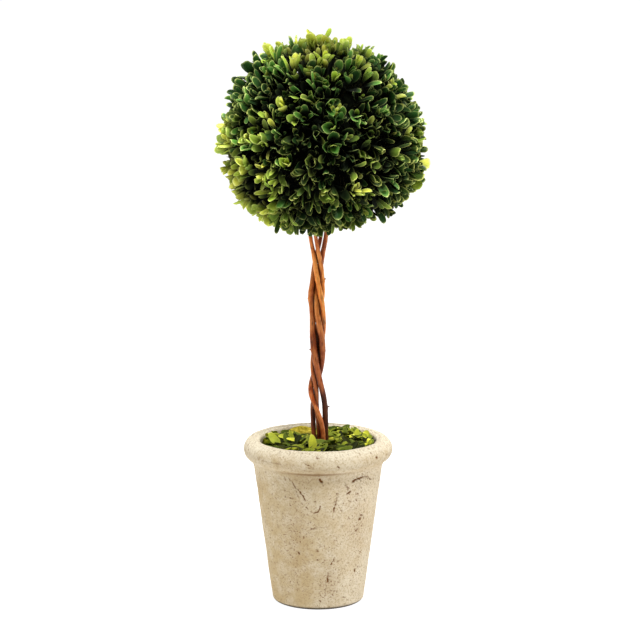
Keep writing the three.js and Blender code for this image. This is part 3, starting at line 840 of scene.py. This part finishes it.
def grow_leaves(ident, bough, place, axis, tip):
    """Leaves of all the shoots, pair by pair from the tip down, each with its own size, turn and bend."""
    sets = []
    stray = ident >= SHOOT_COUNT
    young = chance(ident, 43) > 0.7
    across, other = square_to(axis)
    facing = np.arctan2(other[:, 1], across[:, 1])
    for p, (down, long, open_) in enumerate(PAIRS):
        for half in (0, 1):
            k = 10 * (2 * p + half)
            roll = 2 * np.pi * (chance(ident, 9) + p / 4 + half / 2)
            roll += ROLL_VARIES * (chance(ident, 100 + k) - 0.5)
            roll = np.where(stray, facing + np.pi * half, roll)
            lift = open_ + LIFT_VARIES * (chance(ident, 101 + k) - 0.5)
            lift = np.radians(lift + WIDER * (chance(ident, 109 + k) > WIDER_ABOVE))
            away = across * np.cos(roll)[:, None] + other * np.sin(roll)[:, None]
            ahead = axis * np.cos(lift)[:, None] + away * np.sin(lift)[:, None]
            length = long * (0.70 + 0.55 * chance(ident, 102 + k)) * np.where(young & (p == 0), 0.8, 1)
            width = length * (0.24 + 0.24 * chance(ident, 103 + k) ** 1.2) * np.where(stray, 0.85, 1)
            root = tip - axis * (down + 1.5 * chance(ident, 104 + k))[:, None]
            cup = 0.15 + 0.75 * chance(ident, 105 + k)
            bend = -0.16 + 0.32 * chance(ident, 106 + k)
            twist = 0.9 * (chance(ident, 107 + k) - 0.5)
            face = axis + twist[:, None] * np.cross(ahead, axis)
            shade = chance(ident, 108 + k)
            pair = np.full(len(ident), p)
            sets.append((root, ahead, face, length, width, cup, bend, shade, pair, ident, bough, place))
    return [np.concatenate(column) for column in zip(*sets)]


# Blade and margin of each tone of leaf, on the ball and on the litter; the pale margin is partly painted
# highlight.
LITTER_TONES = {
    "deep": ((44, 48, 10), (100, 104, 40)),
    "green": ((88, 102, 26), (144, 148, 60)),
    "sage": ((144, 152, 38), (180, 182, 76)),
    "bright": ((196, 200, 62), (222, 220, 100)),
}
LEAF_TONES = {
    "deep": ((42, 78, 30), (208, 222, 130)),
    "green": ((90, 142, 56), (224, 238, 142)),
    "sage": ((164, 192, 70), (240, 248, 144)),
    "bright": ((222, 244, 82), (250, 252, 150)),
    "straw": ((150, 116, 58), (190, 160, 96)),
    "young": ((226, 252, 92), (244, 252, 160)),
    "olive": ((54, 76, 26), (214, 220, 120)),
    "moss": ((116, 142, 50), (230, 236, 130)),
}
DEEP, GREEN, SAGE, BRIGHT, STRAW, YOUNG, OLIVE, MOSS = range(8)
GREEN_FROM, SAGE_FROM, BRIGHT_FROM = 0.48, 0.86, 1.08  # how light a leaf is where each tone begins


def tone_of(place, bough, shoot, shade, pair, lime):
    """Number of each leaf's tone, dealt out by spray: painted light pales the sides and top, painted shade
    darkens others.
    """
    x, z = place[:, 0], place[:, 2]
    side = fade(abs(x), 0.5, 1)
    left = fade(-x, 0.2, 1)
    top = fade(z, 0.6, 0.95)
    under = fade(-z, 0.45, 0.85)
    low = fade(-z, 0.15, 0.75) * fade(abs(x), 0.1, 0.6)
    light = 0.285 + 0.6 * chance(shoot, 40) + 0.3 * (chance(bough, 42) - 0.5) + 0.6 * (shade - 0.5)
    # Painted light: paler tones on the left, most of all low down, and at the top.
    light += (0.69 - 1.2 * np.clip(z, 0, 1)) * left + 0.68 * top + (2.6 * left - 0.1) * low
    shoulder = hump(z, 0.55, 0.3) * fade(abs(x), 0.3, 0.6)
    # Painted shade: darker tones on the right, underneath, on the shoulders and on the lower pairs.
    light -= 0.28 * side * (x > 0) + 0.14 * under * (1 - left) + 0.22 * shoulder
    light -= 0.09 * pair + 0.15 * (pair > 2)
    warm = chance(shoot, 44) < 0.34 - 0.5 * z
    tone = np.where(warm, OLIVE, DEEP)
    tone = np.where(light > GREEN_FROM, np.where(warm, MOSS, GREEN), tone)
    tone[light > SAGE_FROM] = SAGE
    tone[light > BRIGHT_FROM] = BRIGHT
    tone[(chance(shoot, 43) > 0.75) & (pair == 0) & (shade > 0.4)] = YOUNG
    tone[np.isin(shoot, lime) & (pair < 2)] = YOUNG
    tone[(chance(shoot, 41) > 0.996) | ((shade > 0.994) & (pair > 1))] = STRAW
    tone[(shoot >= SHOOT_COUNT) & (pair < 3) & (z > -0.6)] = BRIGHT
    return tone


def make_ball():
    """Leaves of the ball, joined by tone and by half, over fine shoots and a dark core."""
    shoots = grow_ball()
    place, axis, tip = shoots[2:]
    root, ahead, face, length, width, cup, bend, shade, pair, shoot, bough, spot = grow_leaves(*shoots)
    middle, end = root + ahead * (length * 0.6)[:, None], root + ahead * length[:, None]
    limit = reach(unit(end - BALL_CENTRE))
    far = np.linalg.norm(end - BALL_CENTRE, axis=1)
    stray = shoot >= SHOOT_COUNT
    spare = np.where(stray, 10, 3 + bulge(spot))
    kept = (far < limit + spare) & (far > 0.83 * limit) & (~stray | (pair != 1))
    for point in (root, middle, end):
        kept &= clear_of_stems(point, 3.2)
    tone = tone_of(spot, bough, shoot, shade, pair, lime_shoots(place))
    for n, (name, (blade, margin)) in enumerate(LEAF_TONES.items()):
        material = leaf_material("leaf_" + name, blade, margin, specular=0.12 if n in (DEEP, OLIVE) else 0.22)
        for half, side in (("left", spot[:, 0] < 0), ("right", spot[:, 0] >= 0)):
            m = kept & (tone == n) & side
            leaves = (root[m], ahead[m], face[m], length[m], width[m], cup[m], bend[m])
            leaf_piece(f"ball_leaves_{name}_{half}", leaves, chance(np.flatnonzero(m), 70), material,
                       "boxwood_ball", "leaves")
    make_twigs(place, axis, tip)
    make_core()


# Fine shoots: sides, where they start from the ball's centre, and the length of the outer, leafy end.
TWIG_SIDES, TWIG_START, TWIG_END = 4, 68, 18


def make_twigs(place, axis, tip):
    """Fine shoots that run from inside the ball to their tips, each a thin tapered rod."""
    keep = clear_of_stems(tip - axis * 20, 3.0) & clear_of_stems(tip, 3.0)
    place, axis, tip = place[keep], axis[keep], tip[keep]
    root = BALL_CENTRE + place * TWIG_START
    bend = tip - axis * TWIG_END
    turn = circle(TWIG_SIDES)[None, :, None]
    across, other = square_to(axis)
    round_it = across[:, None] * np.cos(turn) + other[:, None] * np.sin(turn)
    steps = [(root, 1.1), ((root + bend) / 2, 1.0), (bend, 0.8), (tip - axis * 8, 0.6),
             (tip + axis * 0.6, 0.35)]
    points = np.stack([centre[:, None] + r * round_it for centre, r in steps], 1)
    faces = repeated(grid(len(steps), TWIG_SIDES), len(steps) * TWIG_SIDES, len(tip))
    s = Shader("shoot_bark", roughness=0.7, specular=0.12)
    s.color(s.ramp(s.noise(6, 2), (0.35, rgb((30, 28, 12))), (0.7, rgb((64, 60, 28)))))
    s.bump(s.noise(1.2, 2), 0.1, 0.5)
    piece("ball_shoots", points.reshape(-1, 3), [faces], s.material, "boxwood_ball")


CORE_ROWS, CORE_COLUMNS = 60, 96
CORE_SHARE, CORE_ROUGH = 0.60, 3.0  # its radius as a share of the ball's, and how rough it is


def make_core():
    """A dark, rough core behind the leaves: painted shade inside the ball."""
    polar = np.linspace(0.004, math.pi - 0.004, CORE_ROWS)
    d = revolve(np.sin(polar), np.cos(polar), circle(CORE_COLUMNS))
    r = reach(d) * CORE_SHARE + CORE_ROUGH * fbm(d * 100, 16, 5, 3)
    s = Shader("core_shade", roughness=0.95, specular=0.04)
    s.color(s.ramp(s.noise(7, 3), (0.35, rgb((3, 5, 2))), (0.7, rgb((14, 18, 8)))))
    s.bump(s.noise(3, 3), 1.0, 0.8)
    piece("ball_core", BALL_CENTRE + d * r[:, None], [grid(CORE_ROWS, CORE_COLUMNS)[:, ::-1]],
          s.material, "boxwood_ball")


# litter
MOULD_ROWS, MOULD_COLUMNS = 36, 90
MOULD_REACH = wall(LEVEL + LITTER_EDGE) - 0.5
# Mossy humps of the mould: x, y, how far they spread both ways, and how high.
MOSSY = [(-22, 60, 20, 14, 1), (45, 46, 10, 10, 0.6)]
# Leaves that stand up out of the litter: x, y, length, turn, rise and shade.
STANDING = [(-6, -46, 24, 1.9, 1.45, 0.85), (2, -47, 15, 1.2, 1.2, 0.4), (30, 25, 17, 1.3, 1.2, 0.45),
            (-48, -8, 14, 2.9, 0.7, 0.1), (48, -18, 13, 0.4, 0.6, 0.95), (-52, 4, 12, 2.3, 0.8, 0.3)]
# How many leaves are dealt out, how many of them heap up along the wall, and how high they may reach.
FALLEN_COUNT, ALONG_WALL, STANDING_TOP, FALLEN_TOP = 400, 60, 207, 199
# Where the moss stays clear of leaves: its middle and half its width in x, and where it starts in y.
CLEAR_MIDDLE, CLEAR_HALF, CLEAR_START = -20, 26, 26
# Leaves of each tone by the number that they draw, up to this limit.
FALLEN_TONES = {"deep": 0.22, "green": 0.5, "sage": 0.79, "bright": 2}


def litter_ground(x, y):
    """Height of the litter's underlayer."""
    far = np.hypot(x, y) / (wall(LEVEL) - 1)
    return LEVEL + LITTER_CROWN - (LITTER_CROWN - LITTER_EDGE) * np.clip(far, 0, 1) ** 1.4


def make_mould():
    """The dark mould under the loose leaves, with yellow moss on its humps."""
    far = MOULD_REACH * np.linspace(0.002, 1, MOULD_ROWS)
    flat = revolve(far, 0 * far, circle(MOULD_COLUMNS))
    x, y = flat[:, 0], flat[:, 1]
    mossy = sum(high * np.exp(-((x - across) / wide) ** 2 - ((y - back) / deep) ** 2)
                for across, back, wide, deep, high in MOSSY)
    z = litter_ground(x, y) - 1.6 + 1.6 * fbm(flat, 9, 11, 4) + 8 * mossy
    s = Shader("leaf_mould", roughness=0.95, specular=0.03)
    tone = s.noise(4, 5, 0.7)
    stops = (0.34, 0.52, 0.68)
    mould = s.tones(tone, stops, (20, 18, 8), (52, 50, 18), (96, 92, 34))
    moss = s.tones(tone, stops, (130, 116, 30), (196, 176, 58), (232, 212, 88))
    s.color(s.mix(s.attribute("moss"), mould, moss))
    s.bump(tone, 1.4, 0.9)
    made = piece("litter_mould", np.stack([x, y, z], 1), [grid(MOULD_ROWS, MOULD_COLUMNS)],
                 s.material, "leaf_litter")
    values(made, moss=np.clip(2.2 * mossy, 0, 1))


def make_fallen():
    """The loose leaves on the mould, joined by tone; along the wall they lie along it."""
    i = np.arange(FALLEN_COUNT)
    share = np.sqrt((i + 0.5) / (FALLEN_COUNT - ALONG_WALL))
    around = i * GOLDEN
    far = np.minimum(share, 0.97) * (MOULD_REACH - 3)
    length = 16.5 + 7 * chance(i, 50)
    turn = 2 * np.pi * chance(i, 51)
    brim = far > 0.78 * MOULD_REACH
    turn[brim] = (around + np.pi / 2 + 0.9 * (chance(i, 51) - 0.5))[brim]
    rise = np.radians(-2 + 32 * chance(i, 52) ** 1.6)
    x, y = far * np.cos(around), far * np.sin(around)
    for n, row in enumerate(STANDING):
        x[n], y[n], length[n], turn[n], rise[n] = row[:5]
    ahead = np.stack([np.cos(turn) * np.cos(rise), np.sin(turn) * np.cos(rise), np.sin(rise)], 1)
    root = np.stack([x, y, litter_ground(x, y) + 0.4 + 4.0 * chance(i, 55)], 1)
    first = len(STANDING)
    root[first:] -= (ahead * (0.35 * length)[:, None])[first:]
    root[:, 2] = np.maximum(root[:, 2], LEVEL + 1.5)
    root[:first, 2] = LEVEL + 5.5
    face = np.stack([1.1 * (chance(i, 53) - 0.5), 1.2 * (chance(i, 54) - 0.8), 0 * x + 1], 1)
    face[:first] = (0.2, -1, 0.4)
    width = length * (0.32 + 0.14 * chance(i, 56))
    cup = -0.7 + 1.5 * chance(i, 57)
    bend = -0.25 + 0.6 * chance(i, 58)
    end = root + ahead * length[:, None]
    kept = end[:, 2] < np.where(i < first, STANDING_TOP, FALLEN_TOP)
    kept &= (np.maximum(root[:, 1], end[:, 1]) < CLEAR_START) | (abs(x - CLEAR_MIDDLE) > CLEAR_HALF)
    for along_it in (0, 0.35, 0.7, 1):
        point = root + ahead * (length * along_it)[:, None]
        kept &= clear_of_stems(point, 2.6)
        kept &= np.hypot(point[:, 0], point[:, 1]) < wall(point[:, 2]) - 1.2
    pick = chance(i, 59) + 0.05 * np.clip(-x / 40, -1, 1) + 0.25 * np.clip(y / 40, -1, 1) - 0.05
    pick[:first] = [row[5] for row in STANDING]
    for name, limit in FALLEN_TONES.items():
        m = kept & (pick < limit)
        kept &= ~m
        leaves = (root[m], ahead[m], face[m], length[m], width[m], cup[m], bend[m])
        leaf_piece("litter_leaves_" + name, leaves, chance(np.flatnonzero(m), 71),
                   leaf_material("litter_" + name, *LITTER_TONES[name], 0.55, 0.08), "leaf_litter", "litter")


# object
make_pot()
# Light, middle and dark colour of each stem's bark.
BARKS = [((226, 134, 72), (172, 74, 22), (84, 24, 4)), ((208, 120, 64), (154, 64, 18), (74, 20, 4)),
         ((186, 104, 54), (134, 55, 15), (60, 17, 3)), ((192, 110, 58), (138, 58, 16), (66, 19, 3))]
for k, tones in enumerate(BARKS):
    make_stem(k, bark_material("bark_" + STEMS[k]["name"], *tones))
make_ball()
make_mould()
make_fallen()
plug = Shader("dry_filling", roughness=0.95, specular=0.1)
plug.color(plug.ramp(plug.noise(4, 3), (0.35, rgb((62, 48, 32))), (0.7, rgb((98, 80, 54)))))
plug.bump(plug.noise(2, 3), 0.6, 0.7)
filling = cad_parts["filling"]
filling.data.materials.clear()
filling.data.materials.append(plug.material)

# floor, light and camera
FLOOR_HALF = 30
FLOOR_GLOW, SKY_GLOW = 0.93, 0.24
# Lights: name, place, height of what they point at, size and power.
LIGHTS = [
    ("left_side", (-2.0, 0.4, 1.0), 0.5, (1.0, 1.4), 18),
    ("right_side", (2.0, 0.7, 1.3), 0.5, (1.0, 1.4), 19),
    ("overhead", (0.0, 0.5, 2.2), 0.5, (0.9, 0.9), 30),
    ("front_top", (0.5, -1.3, 3.0), 0.3, (0.8, 0.8), 92),
]
# Width of the picture and distance of the lens in its pixels, width of the sensor in millimetres.
FRAME_WIDE, FOCAL_PIXELS, SENSOR = 640, 3126, 36
EYE, AIM = Vector((0.0022, -3.5, 1.019)), Vector((0.0022, 0, 0.3289))


def pointed(made, place, aim):
    """Puts a light or the camera in its place, pointed at what it is aimed at."""
    thing = bpy.data.objects.new(made.name, made)
    thing.location = place
    thing.rotation_euler = (Vector(aim) - Vector(place)).to_track_quat("-Z", "Y").to_euler()
    scene.collection.objects.link(thing)
    return thing


floor_mesh = bpy.data.meshes.new("floor")
corners = [(x * FLOOR_HALF, y * FLOOR_HALF, 0) for x, y in ((-1, -1), (1, -1), (1, 1), (-1, 1))]
floor_mesh.from_pydata(corners, [], [(0, 1, 2, 3)])
floor = bpy.data.objects.new("floor", floor_mesh)
scene.collection.objects.link(floor)
pale = Shader("pale_floor", roughness=0.9, specular=0.1)
pale.color((0.35, 0.35, 0.35, 1))
pale.bsdf.inputs["Emission Color"].default_value = (1, 1, 1, 1)
pale.bsdf.inputs["Emission Strength"].default_value = FLOOR_GLOW
floor_mesh.materials.append(pale.material)

world = bpy.data.worlds.new("studio")
scene.world = world
world.use_nodes = True
sky = world.node_tree.nodes["Background"].inputs
sky["Color"].default_value = (1, 1, 1, 1)
sky["Strength"].default_value = SKY_GLOW
for name, place, high, size, power in LIGHTS:
    light = bpy.data.lights.new(name, "AREA")
    light.shape = "RECTANGLE"
    light.size, light.size_y = size
    light.energy = power
    pointed(light, place, (0, 0, high))
camera = bpy.data.cameras.new("camera")
camera.lens = FOCAL_PIXELS / FRAME_WIDE * SENSOR
camera.sensor_width = SENSOR
camera.clip_end = 100
scene.camera = pointed(camera, EYE, AIM)
scene.view_settings.view_transform = "Standard"

bpy.context.view_layer.update()
